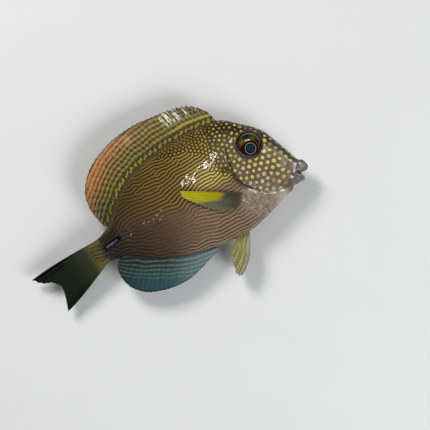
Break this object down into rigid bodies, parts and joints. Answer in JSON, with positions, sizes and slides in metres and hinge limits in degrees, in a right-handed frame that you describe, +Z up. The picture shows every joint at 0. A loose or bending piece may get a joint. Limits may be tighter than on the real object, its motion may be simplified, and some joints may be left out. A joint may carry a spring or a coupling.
{
  "type": "white-freckled surgeonfish",
  "caption": "Young surgeonfish, life size, lying on its left flank as a caught fish rests, fins spread; a still display model.",
  "frame": {"origin": "under the middle of the fish's box, on the surface that its left flank lies on", "axes": "+X to the snout, +Y to the back, +Z up out of the right flank"},
  "size_m": [0.1078, 0.0656, 0.016],
  "materials": {
    "flank_skin": "wet, finely scaled, marked with dots and wavy lines",
    "head_skin": "wet, dotted",
    "lips": "wet, soft",
    "dorsal_membrane": "wet, banded, thin enough to let light through",
    "anal_membrane": "wet, banded, thin",
    "caudal_membrane": "wet, thin",
    "pectoral_membrane": "wet, thin",
    "pelvic_membrane": "wet, thin",
    "eye": "clear wet dome over a dark iris",
    "lancet": "smooth horn"
  },
  "bodies": {
    "root": {"anal_fin": "anal_membrane", "caudal_fin": "caudal_membrane", "dorsal_fin": "dorsal_membrane", "eye_left": "eye", "eye_right": "eye", "gill_cover_left": "head_skin", "gill_cover_right": "head_skin", "head": "head_skin", "lower_jaw": "lips", "pectoral_fin_left": "pectoral_membrane", "pectoral_fin_right": "pectoral_membrane", "pelvic_fin_left": "pelvic_membrane", "pelvic_fin_right": "pelvic_membrane", "tail_lancet_left": "lancet", "tail_lancet_right": "lancet", "tail_stalk": "flank_skin", "trunk": "flank_skin", "upper_jaw": "lips"}
  },
  "joints": []
}
